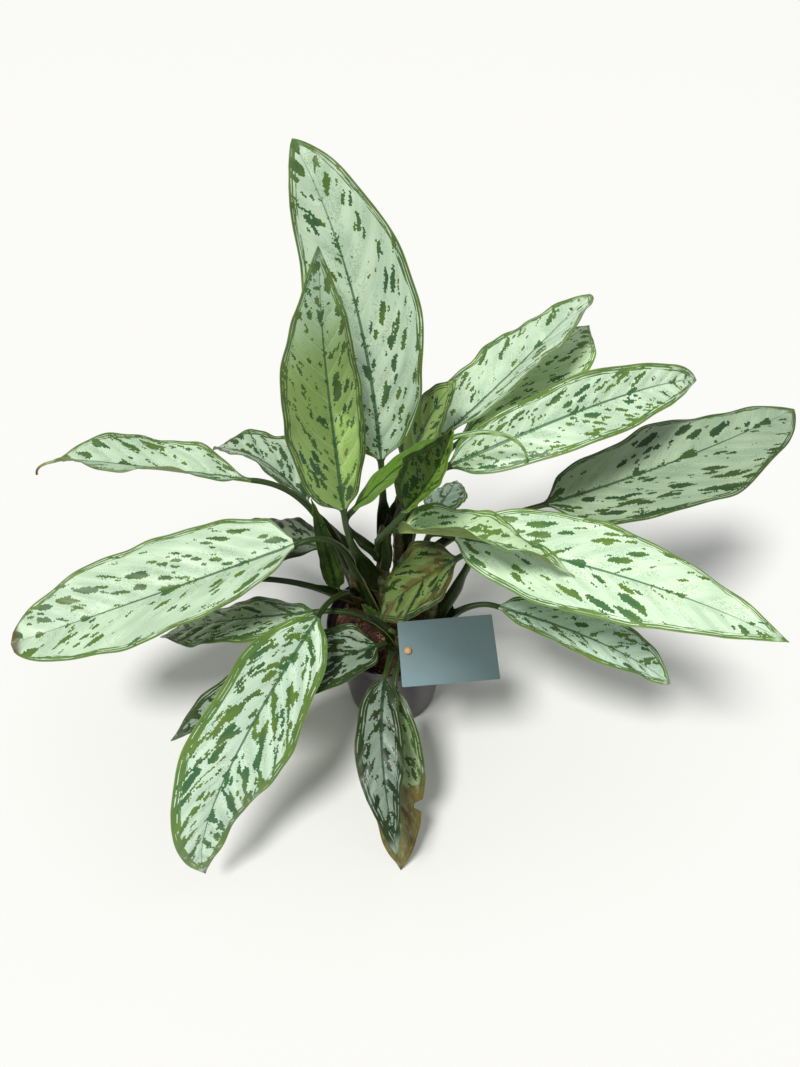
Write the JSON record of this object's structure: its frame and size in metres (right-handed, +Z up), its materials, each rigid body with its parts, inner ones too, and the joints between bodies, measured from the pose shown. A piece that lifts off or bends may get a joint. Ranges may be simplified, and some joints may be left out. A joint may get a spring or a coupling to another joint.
{
  "type": "potted chinese evergreen",
  "caption": "Leafy house plant with silver-green mottled leaves on stalked canes, in a round plastic nursery pot with a blank label card pinned in the soil.",
  "frame": {"origin": "middle of the pot's flat underside, on the surface it stands on", "axes": "+Z up out of the pot; -Y towards the side seen in the picture, +X to the right of that view"},
  "size_m": [0.7267, 0.4369, 0.5316],
  "materials": {
    "pot_plastic": "thin moulded plastic, dark purple-black, satin",
    "soil": "moist coir and bark potting mix, matte and crumbly",
    "cane": "fleshy olive-green cane with leaf scars, satin",
    "leaf": "waxy silver-green blade with dark green blotches and margin, olive stalk",
    "young_leaf": "soft yellow-green young blade, slightly translucent",
    "card": "coated card, slate blue fading to pale blue, left blank",
    "peg_wood": "plain turned wood, unfinished"
  },
  "bodies": {
    "root": {"pot": "pot_plastic", "soil": "soil", "stem_left": "cane", "stem_middle": "cane", "stem_back": "cane", "stem_right": "cane", "stem_front": "cane", "leaf_back_tall": "leaf", "leaf_left_upper": "leaf", "leaf_left_upper_back": "leaf", "leaf_left_big": "leaf", "leaf_left_behind": "leaf", "leaf_left_low": "leaf", "leaf_front_left_hanging": "leaf", "leaf_front_left_low": "leaf", "leaf_front_small": "leaf", "leaf_front_old": "leaf", "leaf_right_low": "leaf", "leaf_right_big": "leaf", "leaf_right_twisted": "leaf", "leaf_right_upper": "leaf", "leaf_right_upper_back": "leaf", "leaf_right_middle": "leaf", "leaf_right_far": "leaf", "leaf_right_inner": "leaf", "leaf_centre_arching": "leaf", "leaf_left_hidden": "leaf", "leaf_upright_young": "young_leaf", "leaf_young_shaded": "young_leaf", "leaf_young_rolled": "young_leaf", "leaf_young_dark": "young_leaf", "sheath_left": "young_leaf", "sheath_front": "young_leaf", "label_card": "card", "label_peg": "peg_wood"}
  },
  "joints": []
}
